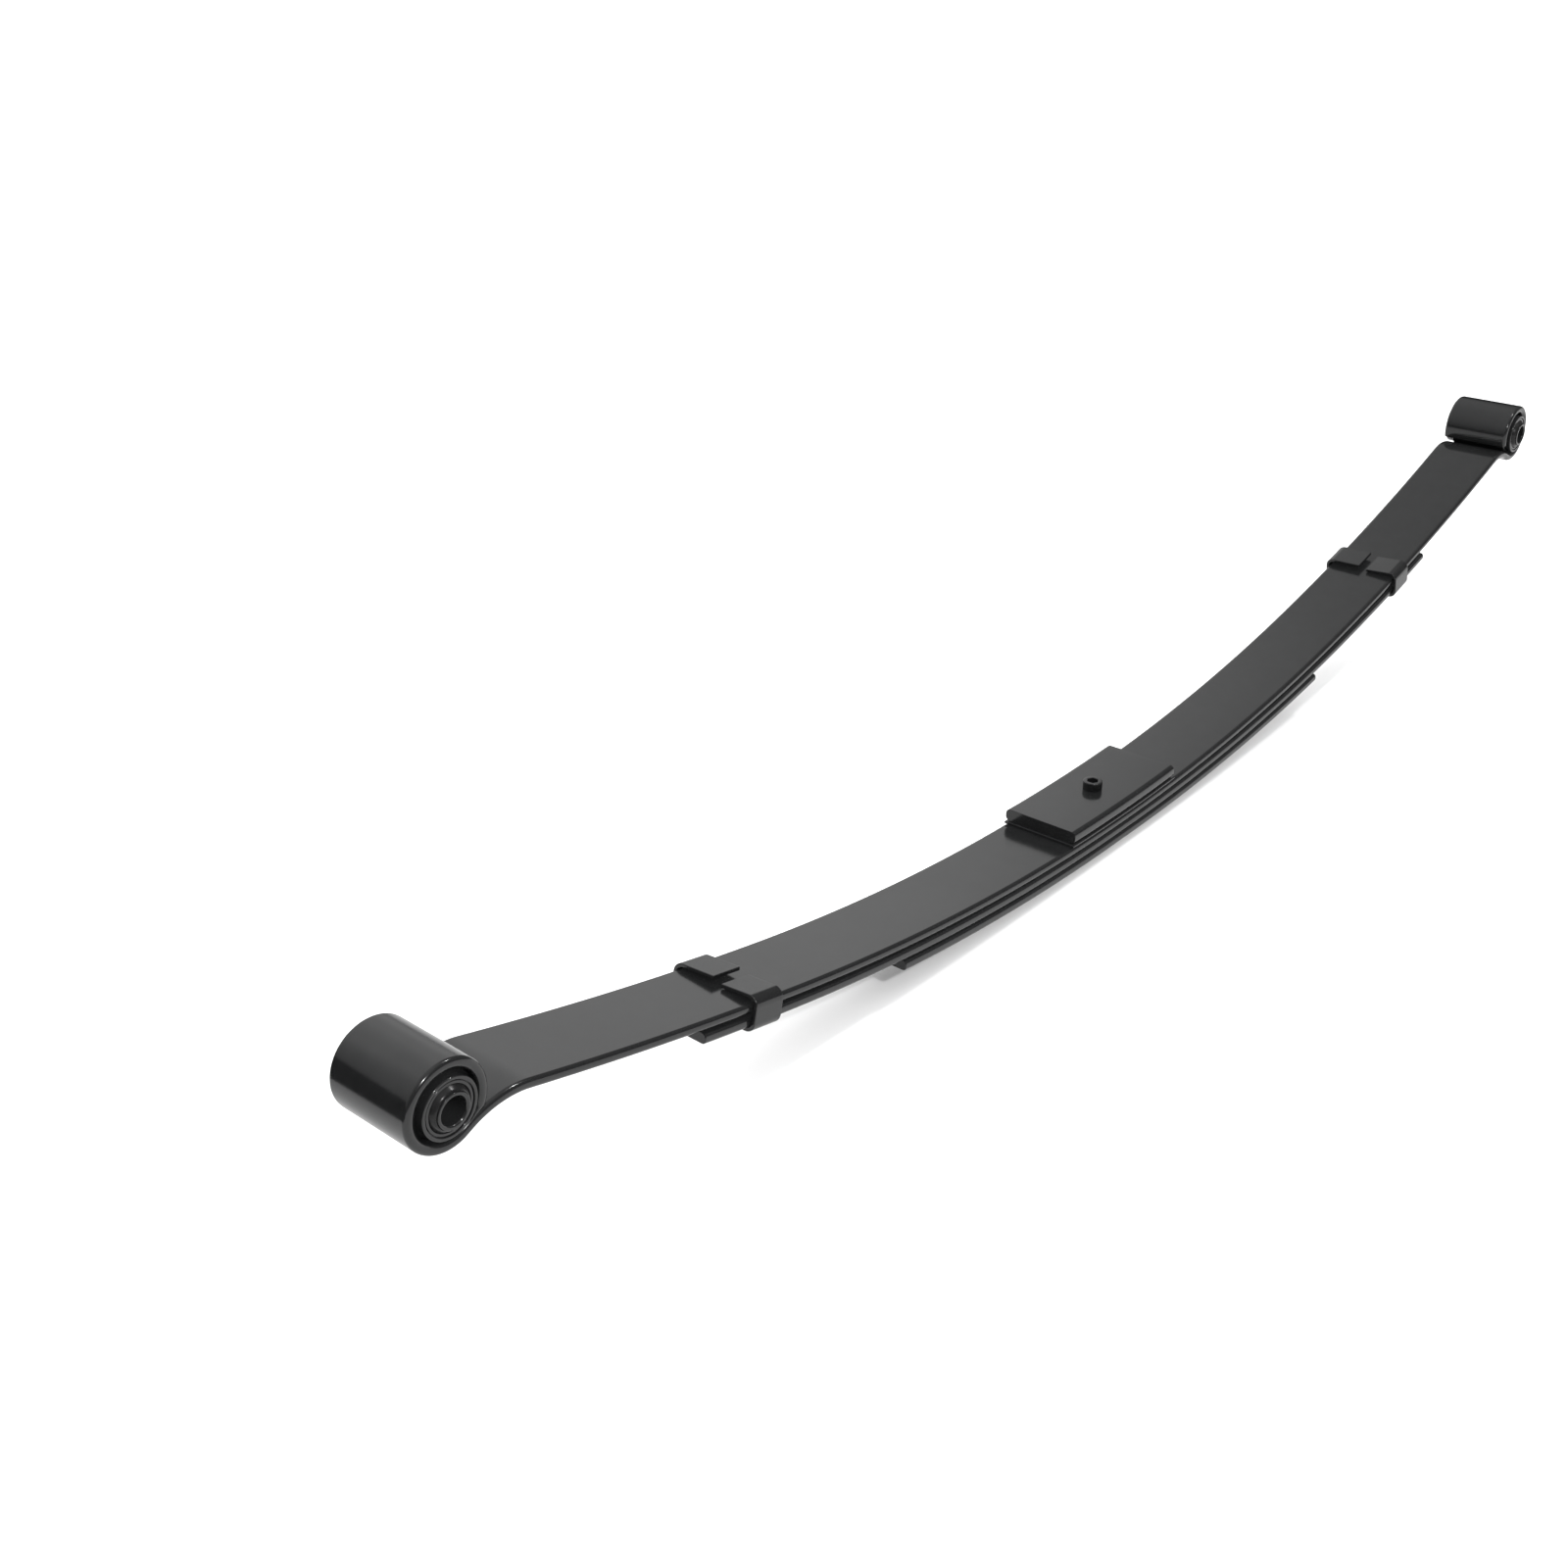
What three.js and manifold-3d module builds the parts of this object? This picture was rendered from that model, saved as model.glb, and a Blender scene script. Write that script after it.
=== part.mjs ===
// Three-leaf automotive spring with rolled eyes, rubber bushes, rebound clips and a seat plate.
// Millimetres, +Z up. X runs along the spring from the front eye (-X) to the rear eye (+X),
// and Y across the leaves. The shapes are laid out from the centre bolt's axis, with the top
// face of the main leaf at height 0 there. At the end the whole spring is set down so that its
// origin is the middle of its own footprint, at its lowest point.
import * as THREE from 'three';
import { mergeVertices } from 'three/addons/utils/BufferGeometryUtils.js';
import Module from 'manifold-3d';

// ---- Driving dimensions ----------------------------------------------------------------------

const LEAF_WIDTH = 50;
const EDGE_ROUND = 1.7; // radius of the long edges of every leaf
const CLEARANCE = 0.3; // gap left between pieces that touch

// Side view of the main leaf. Each half bends on one arc near the bolt and a flatter one beyond.
const INNER_ARC_RADIUS = 1517; // top face, from the bolt out to ARC_CHANGE
const ARC_CHANGE = 300; // distance from the bolt where the flatter arc starts

const LEAVES = {
  main: { thickness: 5.3 },
  second: { thickness: 5.8, front: { tip: 379, gap: 1.9 }, rear: { tip: 422, gap: 3.2 } },
  third: { thickness: 6.0, front: { tip: 222, gap: 1.1 }, rear: { tip: 254, gap: 1.1 } },
};
const GAP_AT_BOLT = 0.35; // between leaves; it opens steadily to each leaf's gap at its tip

// Each eye: its centre from the bolt, the arc that leads to it, the reverse bend just before it,
// and how far short of the leaf the rolled end stops, on its inner and its outer corner.
const EYE_RADIUS = 21.85;
const HALVES = {
  front: {
    side: -1, eyeX: 532, eyeZ: 86.5, outerArcRadius: 2500, reverseBend: 49.8,
    endOuterDeg: 37, endInnerDeg: 32, clipX: 338, raisedTabRoot: 0.9,
  },
  rear: {
    side: 1, eyeX: 581, eyeZ: 107.4, outerArcRadius: 1980, reverseBend: 34.5,
    endOuterDeg: 45, endInnerDeg: 45, clipX: 380, raisedTabRoot: 2.2,
  },
};

// Both lie along the curve of the main leaf; bottom is the height of the lower face above it.
const SEAT = { length: 115, thickness: 7.8, bottom: 2.3, edge: 3.0, endBevel: 1.1 };
const LINER = { length: 117, thickness: 1.7, bottom: 0.3, edge: 0.7, endBevel: 0.3 };

// The head stands in a shallow spot face, with its underside level with the plate's flat middle.
const BOLT = {
  shank: 4, head: 6, headHeight: 5.6, underHead: 10.2, spotFace: 6.3,
  socketFlats: 6, socketDepth: 4, chamfer: 0.5,
};
const NUT = { flats: 13, height: 6.5, chamfer: 1 };
const BOLT_HOLE = BOLT.shank + CLEARANCE;

const CLIP = {
  width: 20, thickness: 2.2, sideGap: 0.6, bend: 3, bevel: 0.4,
  raisedTabEnd: 1.5, raisedTabGap: 2.7, // the tab on the +Y side stands off the leaf
  slopedTabEnd: -4, slopedTabGap: 0.6, // the tab on the -Y side comes down to it
  slopedTabStart: 2.4,
};
const RIVET = { shank: 3, head: 5, headHeight: 2.4, flushHead: 4.6, flushDepth: 1.6 };

// Bush, from the eye's axis outwards. Half lengths are along Y from the middle of the leaf.
const INNER_SLEEVE = { bore: 6.5, outer: 8.5, half: 29.1, chamfer: 0.4 };
const RUBBER = { half: 25.2, neckRadius: 11.4, neckTop: 10.3, neckHalf: 27.5 };
const OUTER_SLEEVE = { wall: 1.3, taperStart: 21.5, taperEnd: 23, endRadius: 15, half: 26.4 };

const ARC_STEP_DEG = 10; // facets of the eyes and bushes
const LEAF_STEP = 24; // length of the facets along the leaves

const PAINT = { color: 0x1b1c1d, roughness: 0.32, metalness: 0.3 };
const BOLT_FINISH = { color: 0x161718, roughness: 0.4, metalness: 0.5 };
const RUBBER_FINISH = { color: 0x141414, roughness: 0.6, metalness: 0 };

const wasm = await Module();
wasm.setup();
const spring = new THREE.Group();

// ---- Small geometry helpers ------------------------------------------------------------------

const rad = THREE.MathUtils.degToRad;

/** Points on a circle in the side view, from angle a0 to a1 in radians, ends included. */
function arcPoints(centre, radius, a0, a1, steps) {
  const points = [];
  for (let i = 0; i <= steps; i++) {
    const a = a0 + ((a1 - a0) * i) / steps;
    points.push(new THREE.Vector2(centre.x + radius * Math.cos(a), centre.y + radius * Math.sin(a)));
  }
  return points;
}

/** A polyline whose inner corners are rounded, each with its own radius. */
function roundedLine(corners, radius, stepsPerCorner = 5) {
  const line = [corners[0]];
  for (let i = 1; i < corners.length - 1; i++) {
    const here = corners[i];
    const back = corners[i - 1].clone().sub(here).normalize();
    const on = corners[i + 1].clone().sub(here).normalize();
    const half = Math.acos(back.dot(on)) / 2;
    const centre = here.clone().add(back.clone().add(on).setLength(radius / Math.sin(half)));
    const from = here.clone().addScaledVector(back, radius / Math.tan(half)).sub(centre);
    const to = here.clone().addScaledVector(on, radius / Math.tan(half)).sub(centre);
    let sweep = to.angle() - from.angle();
    if (sweep > Math.PI) sweep -= 2 * Math.PI;
    if (sweep < -Math.PI) sweep += 2 * Math.PI;
    line.push(...arcPoints(centre, radius, from.angle(), from.angle() + sweep, stepsPerCorner));
  }
  line.push(corners.at(-1));
  return line;
}

/** Unit normals of a polyline, to the left of its direction of travel. */
function leftNormals(line) {
  return line.map((_, i) => {
    const before = line[Math.max(i - 1, 0)];
    const after = line[Math.min(i + 1, line.length - 1)];
    const along = after.clone().sub(before).normalize();
    return new THREE.Vector2(-along.y, along.x);
  });
}

/** The outline of a strip: one side of the line out, the other side back. */
function stripShape(line, toLeft, toRight) {
  const normals = leftNormals(line);
  const left = line.map((p, i) => p.clone().addScaledVector(normals[i], toLeft));
  const right = line.map((p, i) => p.clone().addScaledVector(normals[i], -toRight));
  return new THREE.Shape([...left, ...right.reverse()]);
}

/** A side-view outline given the leaf width across Y, with rounded edges. */
function acrossLeaf(shape, width, round) {
  const geometry = new THREE.ExtrudeGeometry(shape, {
    depth: width - 2 * round, bevelEnabled: true, bevelThickness: round, bevelSize: round,
    bevelOffset: -round, bevelSegments: 2, steps: 1,
  });
  geometry.translate(0, 0, -(width / 2 - round));
  return geometry.rotateX(Math.PI / 2);
}

/** An end-view outline (Y, Z) given a length along X, centred on X = 0. */
function alongLeaf(shape, length, bevel, steps = 1) {
  const geometry = new THREE.ExtrudeGeometry(shape, {
    depth: length - 2 * bevel, bevelEnabled: true, bevelThickness: bevel, bevelSize: bevel,
    bevelOffset: -bevel, bevelSegments: 1, steps,
  });
  geometry.translate(0, 0, -(length / 2 - bevel));
  geometry.rotateX(Math.PI / 2);
  return geometry.rotateZ(Math.PI / 2);
}

/** A body of revolution about the Y axis from [radius, y] pairs; a ring if its profile closes. */
function turnedAboutY(profile, sides = 360 / ARC_STEP_DEG) {
  return new THREE.LatheGeometry(profile.map(([r, y]) => new THREE.Vector2(r, y)), sides);
}

/** A body of revolution standing on the Z axis, from [radius, z] pairs that start and end on it. */
function turnedAboutZ(profile, sides = 24) {
  return fromSolid(solid(turnedAboutY(profile, sides).rotateX(Math.PI / 2)));
}

/** A six-sided bar standing on the Z axis, by its width across flats. */
function hexBar(flats, height, z) {
  const bar = new THREE.CylinderGeometry(flats / Math.sqrt(3), flats / Math.sqrt(3), height, 6);
  return bar.rotateX(Math.PI / 2).translate(0, 0, z + height / 2);
}

/** Keeps the triangles that haven't collapsed to a line, as they do where a lathe meets its axis. */
function fullTriangles(index) {
  const kept = [];
  for (let i = 0; i < index.length; i += 3) {
    const corners = [index[i], index[i + 1], index[i + 2]];
    if (new Set(corners).size === 3) kept.push(...corners);
  }
  return kept;
}

function solid(geometry) {
  const bare = geometry.clone();
  bare.deleteAttribute('normal');
  bare.deleteAttribute('uv');
  const merged = mergeVertices(bare, 1e-4);
  return new wasm.Manifold(new wasm.Mesh({
    numProp: 3,
    vertProperties: new Float32Array(merged.attributes.position.array),
    triVerts: new Uint32Array(fullTriangles(merged.index.array)),
  }));
}

function fromSolid(body) {
  const mesh = body.getMesh();
  const geometry = new THREE.BufferGeometry();
  geometry.setAttribute('position', new THREE.BufferAttribute(new Float32Array(mesh.vertProperties), 3));
  geometry.setIndex(new THREE.BufferAttribute(new Uint32Array(mesh.triVerts), 1));
  return geometry;
}

function cut(geometry, ...tools) {
  return fromSolid(tools.reduce((body, tool) => body.subtract(solid(tool)), solid(geometry)));
}

function addPiece(name, geometry, finish) {
  const material = new THREE.MeshStandardMaterial(finish);
  geometry.computeVertexNormals();
  const mesh = new THREE.Mesh(geometry, material);
  mesh.name = name;
  spring.add(mesh);
  return mesh;
}

// ---- The curve that every leaf follows ---------------------------------------------------------

/** The outer arc's centre and the inner arc's end angle, in a half's own view (x outwards). */
function halfArcs(half) {
  const turn = Math.asin(ARC_CHANGE / INNER_ARC_RADIUS);
  const inner = new THREE.Vector2(0, INNER_ARC_RADIUS);
  const radial = new THREE.Vector2(Math.sin(turn), -Math.cos(turn));
  const join = inner.clone().addScaledVector(radial, INNER_ARC_RADIUS);
  const outer = join.clone().addScaledVector(radial, -half.outerArcRadius);
  return { turn, inner, outer };
}

/** Top face of the main leaf at a distance x from the bolt: a point and the slope angle. */
function topFace(half, x) {
  const { turn, inner, outer } = halfArcs(half);
  const onInner = x <= INNER_ARC_RADIUS * Math.sin(turn);
  const centre = onInner ? inner : outer;
  const radius = onInner ? INNER_ARC_RADIUS : half.outerArcRadius;
  const angle = Math.asin((x - centre.x) / radius);
  const point = new THREE.Vector2(x, centre.y - radius * Math.cos(angle));
  return { point, angle };
}

/** The point a given depth below the top face, measured square to the leaf. */
function below(half, x, depth) {
  const { point, angle } = topFace(half, x);
  return point.add(new THREE.Vector2(Math.sin(angle), -Math.cos(angle)).multiplyScalar(depth));
}

/** Depth of a shorter leaf's top face at distance x: it opens away from the leaf above it. */
function leafDepth(name, half, x) {
  const { thickness } = LEAVES[name];
  const end = LEAVES[name][half.side < 0 ? 'front' : 'rear'];
  const gap = GAP_AT_BOLT + (end.gap - GAP_AT_BOLT) * Math.min(x / end.tip, 1);
  const above = name === 'second' ? LEAVES.main.thickness : leafDepth('second', half, x).bottom;
  return { top: above + gap, bottom: above + gap + thickness };
}

/** Mirrors a half's points onto its own side of the bolt. */
function placed(half, points) {
  return points.map((p) => new THREE.Vector2(half.side * p.x, p.y));
}

function stations(length) {
  const count = Math.ceil(length / LEAF_STEP);
  return Array.from({ length: count + 1 }, (_, i) => (length * i) / count);
}

// ---- Leaves ------------------------------------------------------------------------------------

/** One half of the main leaf's outline: its top edge out to the rolled end, and its lower edge. */
function mainLeafHalf(half) {
  const t = LEAVES.main.thickness;
  const eye = new THREE.Vector2(half.eyeX, half.eyeZ);
  const { outer } = halfArcs(half);
  const bendRadius = half.reverseBend;

  // The reverse bend touches the leaf's outer arc from below and the eye from the bolt's side.
  const toArc = half.outerArcRadius + t / 2 + bendRadius;
  const toEye = EYE_RADIUS - t / 2 + bendRadius;
  const between = eye.clone().sub(outer);
  const distance = between.length();
  const along = (toArc ** 2 - toEye ** 2 + distance ** 2) / (2 * distance);
  const aside = Math.sqrt(toArc ** 2 - along ** 2);
  between.normalize();
  const bend = outer.clone().addScaledVector(between, along)
    .addScaledVector(new THREE.Vector2(between.y, -between.x), aside);

  const arcEnd = bend.clone().sub(outer);
  const leafEndX = outer.x + (half.outerArcRadius * arcEnd.x) / arcEnd.length();
  const leaf = stations(leafEndX);
  const bendFrom = outer.clone().sub(bend).angle();
  const eyeFrom = eye.clone().sub(bend).angle();
  const bendSteps = 5;
  const rollFrom = bend.clone().sub(eye).angle();
  const rollTo = (endDeg) => rollFrom + 2 * Math.PI - rad(endDeg);
  const rollSteps = Math.round((360 - half.endOuterDeg) / ARC_STEP_DEG);

  const edge = (offset, endDeg) => [
    ...leaf.slice(0, -1).map((x) => below(half, x, t / 2 - offset)),
    ...arcPoints(bend, bendRadius + offset, bendFrom, eyeFrom, bendSteps).slice(0, -1),
    ...arcPoints(eye, EYE_RADIUS - t / 2 - offset, rollFrom, rollTo(endDeg), rollSteps),
  ];
  return {
    upper: placed(half, edge(t / 2, half.endInnerDeg)),
    lower: placed(half, edge(-t / 2, half.endOuterDeg)),
  };
}

function mainLeaf() {
  const front = mainLeafHalf(HALVES.front);
  const rear = mainLeafHalf(HALVES.rear);
  const outline = [
    ...front.upper.slice(1).reverse(), ...rear.upper, ...rear.lower.reverse(), ...front.lower.slice(1),
  ];
  return acrossLeaf(new THREE.Shape(outline), LEAF_WIDTH, EDGE_ROUND);
}

function shortLeaf(name) {
  const edge = (half, length, face) => placed(
    half, stations(length).map((x) => below(half, x, leafDepth(name, half, x)[face])),
  );
  const front = LEAVES[name].front.tip;
  const rear = LEAVES[name].rear.tip;
  const outline = [
    ...edge(HALVES.front, front, 'top').reverse(), ...edge(HALVES.rear, rear, 'top').slice(1),
    ...edge(HALVES.rear, rear, 'bottom').reverse(), ...edge(HALVES.front, front, 'bottom').slice(1),
  ];
  return acrossLeaf(new THREE.Shape(outline), LEAF_WIDTH, EDGE_ROUND);
}

/** Moves a piece built at the bolt to a place along the leaf, tilted to the leaf's slope. */
function onLeaf(geometry, half, x) {
  const { point, angle } = topFace(half, x);
  return geometry.rotateY(-half.side * angle).translate(half.side * point.x, 0, point.y);
}

// ---- Middle of the spring ----------------------------------------------------------------------

function roundedBar(width, thickness, edge) {
  const corners = [[-1, -1], [1, -1], [1, 1], [-1, 1]];
  const points = corners.flatMap(([sy, sz]) => {
    const centre = new THREE.Vector2(sy * (width / 2 - edge), sz * (thickness / 2 - edge));
    const start = Math.atan2(sz, sy) - Math.PI / 4;
    return arcPoints(centre, edge, start, start + Math.PI / 2, 4);
  });
  return new THREE.Shape(points);
}

/** A bar with rounded edges laid along the main leaf's curve, in a level middle and two sides. */
function seatPiece({ length, thickness, bottom, edge, endBevel }) {
  const bar = alongLeaf(roundedBar(LEAF_WIDTH, thickness, edge), length, endBevel, 3);
  bar.translate(0, 0, bottom + thickness / 2);
  const { position } = bar.attributes;
  for (let i = 0; i < position.count; i++) {
    const half = position.getX(i) < 0 ? HALVES.front : HALVES.rear;
    const bent = below(half, Math.abs(position.getX(i)), -position.getZ(i));
    position.setXYZ(i, half.side * bent.x, position.getY(i), bent.y);
  }
  return bar;
}

function centreHole() {
  return turnedAboutZ([[0, -60], [BOLT_HOLE, -60], [BOLT_HOLE, 60], [0, 60]]);
}

function seatPlate() {
  const floor = BOLT.underHead - CLEARANCE;
  const spotFace = turnedAboutZ([[0, floor], [BOLT.spotFace, floor], [BOLT.spotFace, 60], [0, 60]]);
  return cut(seatPiece(SEAT), centreHole(), spotFace);
}

function centreBolt(packBottom) {
  const { shank, head, chamfer, underHead } = BOLT;
  const top = underHead + BOLT.headHeight;
  const end = packBottom - NUT.height; // just inside the nut's lower face
  const body = turnedAboutZ([
    [0, end], [shank - chamfer, end], [shank, end + chamfer], [shank, underHead],
    [head, underHead], [head, top - chamfer], [head - chamfer, top], [0, top],
  ]);
  return cut(body, hexBar(BOLT.socketFlats, BOLT.socketDepth + 1, top - BOLT.socketDepth));
}

function centreNut(packBottom) {
  const top = packBottom - CLEARANCE;
  const bottom = top - NUT.height;
  const corner = NUT.flats / Math.sqrt(3);
  const blank = turnedAboutZ([
    [0, bottom], [corner - NUT.chamfer, bottom], [corner, bottom + NUT.chamfer / 2],
    [corner, top], [0, top],
  ]);
  const body = fromSolid(solid(blank).intersect(solid(hexBar(NUT.flats, NUT.height, bottom))));
  return cut(body, centreHole());
}

// ---- Rebound clips -----------------------------------------------------------------------------

function clipDepth(half) {
  return leafDepth('second', half, half.clipX).bottom + CLEARANCE;
}

function clip(half) {
  const side = LEAF_WIDTH / 2 + CLIP.sideGap + CLIP.thickness / 2;
  const centre = CLIP.thickness / 2;
  const floor = -clipDepth(half) - centre;
  const corners = [
    [CLIP.raisedTabEnd, CLIP.raisedTabGap + centre], [side, half.raisedTabRoot + centre],
    [side, floor], [-side, floor],
    [-side, CLIP.slopedTabStart + centre], [CLIP.slopedTabEnd, CLIP.slopedTabGap + centre],
  ].map(([y, z]) => new THREE.Vector2(y, z));
  const line = roundedLine(corners, CLIP.bend + centre);
  const geometry = alongLeaf(stripShape(line, centre, centre), CLIP.width, CLIP.bevel);
  const hole = RIVET.shank + CLEARANCE;
  const bore = turnedAboutZ([[0, -40], [hole, -40], [hole, -5], [0, -5]]);
  return cut(geometry, bore);
}

/** The rivet, or with a margin the hole that it fills in the second leaf. */
function rivetShape(half, margin) {
  const { top } = leafDepth('second', half, half.clipX);
  const flush = -top + (margin ? 1 : -CLEARANCE);
  const head = -clipDepth(half) - CLIP.thickness - CLEARANCE;
  const shank = RIVET.shank + margin;
  const wide = RIVET.flushHead + margin;
  const neck = -top - RIVET.flushDepth - margin;
  if (margin) {
    return [
      [0, head], [shank, head], [shank, neck], [wide, -top - margin], [wide, flush], [0, flush],
    ];
  }
  return [
    [0, head - RIVET.headHeight], [RIVET.head * 0.55, head - RIVET.headHeight],
    [RIVET.head * 0.87, head - RIVET.headHeight * 0.6], [RIVET.head, head], [shank, head],
    [shank, neck], [wide, flush], [0, flush],
  ];
}

// ---- Bushes ------------------------------------------------------------------------------------

/** A ring profile given as its +Y end, from the outer wall to the bore, closed by its mirror image. */
function mirroredRing(end) {
  const otherEnd = end.map(([r, y]) => [r, -y]).reverse();
  return [...end, ...otherEnd, end[0]];
}

function innerSleeve() {
  const { bore, outer, half, chamfer } = INNER_SLEEVE;
  return mirroredRing([
    [outer, half - chamfer], [outer - chamfer, half], [bore + chamfer, half], [bore, half - chamfer],
  ]);
}

function rubberBush() {
  const inner = INNER_SLEEVE.outer + CLEARANCE;
  const outer = OUTER_SLEEVE.endRadius - OUTER_SLEEVE.wall - CLEARANCE;
  const { half, neckRadius, neckTop, neckHalf } = RUBBER;
  return mirroredRing([
    [outer, half - 0.6], [outer - 0.6, half], [neckRadius, half],
    [neckTop, neckHalf - 0.5], [neckTop - 0.5, neckHalf], [inner, neckHalf],
  ]);
}

function outerSleeve() {
  const snug = EYE_RADIUS - LEAVES.main.thickness - CLEARANCE;
  const { wall, taperStart, taperEnd, endRadius, half } = OUTER_SLEEVE;
  return mirroredRing([
    [snug, taperStart], [endRadius, taperEnd], [endRadius, half - 0.3],
    [endRadius - 0.3, half], [endRadius - wall, half],
  ]);
}

// ---- Assembly ----------------------------------------------------------------------------------

const packBottom = -leafDepth('third', HALVES.front, 0).bottom;
const rivetHoles = Object.values(HALVES).map(
  (half) => onLeaf(turnedAboutZ(rivetShape(half, CLEARANCE), 18), half, half.clipX),
);

addPiece('main_leaf', cut(mainLeaf(), centreHole()), PAINT);
addPiece('second_leaf', cut(shortLeaf('second'), centreHole(), ...rivetHoles), PAINT);
addPiece('third_leaf', cut(shortLeaf('third'), centreHole()), PAINT);
addPiece('seat_plate', seatPlate(), PAINT);
addPiece('seat_liner', cut(seatPiece(LINER), centreHole()), PAINT);
addPiece('centre_bolt', centreBolt(packBottom), BOLT_FINISH);
addPiece('centre_nut', centreNut(packBottom), BOLT_FINISH);

for (const [name, half] of Object.entries(HALVES)) {
  addPiece(`${name}_clip`, onLeaf(clip(half), half, half.clipX), PAINT);
  const rivet = turnedAboutZ(rivetShape(half, 0), 18);
  addPiece(`${name}_clip_rivet`, onLeaf(rivet, half, half.clipX), PAINT);

  const bush = {
    outer_sleeve: [outerSleeve(), PAINT],
    rubber_bush: [rubberBush(), RUBBER_FINISH],
    inner_sleeve: [innerSleeve(), PAINT],
  };
  for (const [piece, [profile, finish]] of Object.entries(bush)) {
    const mesh = addPiece(`${name}_${piece}`, turnedAboutY(profile), finish);
    mesh.position.set(half.side * half.eyeX, 0, half.eyeZ);
  }
}

// Set the spring down on its lowest point, with the origin in the middle of its footprint.
const box = new THREE.Box3().setFromObject(spring);
const middle = box.getCenter(new THREE.Vector3());
spring.position.set(-middle.x, -middle.y, -box.min.z);
spring.updateMatrixWorld(true);

export default spring;
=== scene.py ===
"""Looks of a three-leaf automotive spring: smooth rolled leaves, bushes, clips and bolt in black paint.

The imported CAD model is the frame. Every piece here is worked out in the side view of one half of
the spring, where x is the distance from the centre bolt and z the height above the top face of the
main leaf at the bolt, and then set on its own side of the bolt. Lengths are in metres.
"""
import math

import bmesh
import bpy
from mathutils import Matrix, Vector


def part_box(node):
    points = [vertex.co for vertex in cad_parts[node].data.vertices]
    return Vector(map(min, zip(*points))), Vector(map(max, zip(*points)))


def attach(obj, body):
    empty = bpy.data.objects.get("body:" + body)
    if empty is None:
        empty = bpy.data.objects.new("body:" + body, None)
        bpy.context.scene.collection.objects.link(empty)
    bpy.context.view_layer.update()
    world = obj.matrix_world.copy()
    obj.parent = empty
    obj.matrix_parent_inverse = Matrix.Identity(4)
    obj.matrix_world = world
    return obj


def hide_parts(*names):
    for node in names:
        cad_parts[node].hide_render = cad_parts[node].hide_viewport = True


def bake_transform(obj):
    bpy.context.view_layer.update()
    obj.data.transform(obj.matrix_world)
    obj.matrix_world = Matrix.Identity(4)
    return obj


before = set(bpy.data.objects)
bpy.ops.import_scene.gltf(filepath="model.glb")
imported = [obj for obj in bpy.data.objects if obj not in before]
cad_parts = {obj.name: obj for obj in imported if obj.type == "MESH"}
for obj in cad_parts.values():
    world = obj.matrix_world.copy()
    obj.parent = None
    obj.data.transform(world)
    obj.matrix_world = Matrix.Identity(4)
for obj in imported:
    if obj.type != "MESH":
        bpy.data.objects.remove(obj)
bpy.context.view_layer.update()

MM = 0.001

# ---- Sizes that the frame doesn't give ---------------------------------------------------------

LEAF_WIDTH = 50 * MM
EDGE_ROUND = 2.3 * MM  # of the leaves' long edges
INNER_ARC_RADIUS = 1517 * MM  # top face of the main leaf, from the bolt out to ARC_CHANGE
ARC_CHANGE = 300 * MM
GAP_AT_BOLT = 0.35 * MM  # from each leaf to the next
STATION_STEP = 7 * MM  # spacing of the mesh along the leaves
EYE_STEP = 1.1 * MM  # and round the eyes

MAIN_THICKNESS = 5.3 * MM
SHORT_LEAVES = {
    "second": {"thickness": 5.8 * MM, "front": (379 * MM, 1.9 * MM), "rear": (422 * MM, 3.2 * MM)},
    "third": {"thickness": 6.0 * MM, "front": (222 * MM, 1.1 * MM), "rear": (254 * MM, 1.1 * MM)},
}  # for each half: distance from the bolt to the tip, and the gap to the leaf above there

EYE_RADIUS = 21.85 * MM

# For each half: which way it goes from the bolt, the radii of its outer arc and of the reverse bend
# before the eye, how much of the eye's turn is left open, the clip's distance from the bolt, how high
# its near tab starts, and the stretch of leaf (flex) between two distances from the bolt.
HALVES = {
    "front": {"side": -1, "outer_arc": 2500 * MM, "reverse_bend": 49.8 * MM,
              "eye_opening": math.radians(13), "clip": 338 * MM, "tab_root": 0.9 * MM,
              "flex": (62 * MM, 320 * MM)},
    "rear": {"side": 1, "outer_arc": 1980 * MM, "reverse_bend": 34.5 * MM,
             "eye_opening": math.radians(43), "clip": 380 * MM, "tab_root": 2.2 * MM,
             "flex": (62 * MM, 345 * MM)},
}

# Lower and upper face above the main leaf's top, and rounding of the long edges and of each end.
SEAT = {"length": 117 * MM, "low": 2.3 * MM, "high": 10.1 * MM, "edge": 3.0 * MM,
        "ends": (0.35 * MM, 1.1 * MM)}
LINER = {"length": 119 * MM, "low": 0.3 * MM, "high": 2.0 * MM, "edge": 0.75 * MM,
         "ends": (0.4 * MM, 0.4 * MM)}

CLIP = {"thickness": 2.2 * MM, "width": 20 * MM, "bend": 3.6 * MM, "edge": 0.5 * MM,
        "end": 0.45 * MM, "gap_under": 0.3 * MM, "gap_beside": 0.6 * MM}


def middle(node):
    """Middle of a CAD node's box."""
    low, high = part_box(node)
    return (low + high) / 2


BOLT_AXIS = middle("centre_bolt")
LEAF_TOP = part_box("seat_liner")[0].z - LINER["low"]  # the level that z counts from

for name, half in HALVES.items():
    eye = middle(f"{name}_inner_sleeve")
    half["name"] = name
    half["eye"] = Vector((abs(eye.x - BOLT_AXIS.x), eye.z - LEAF_TOP))


# ---- Mesh helpers ------------------------------------------------------------------------------

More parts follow.
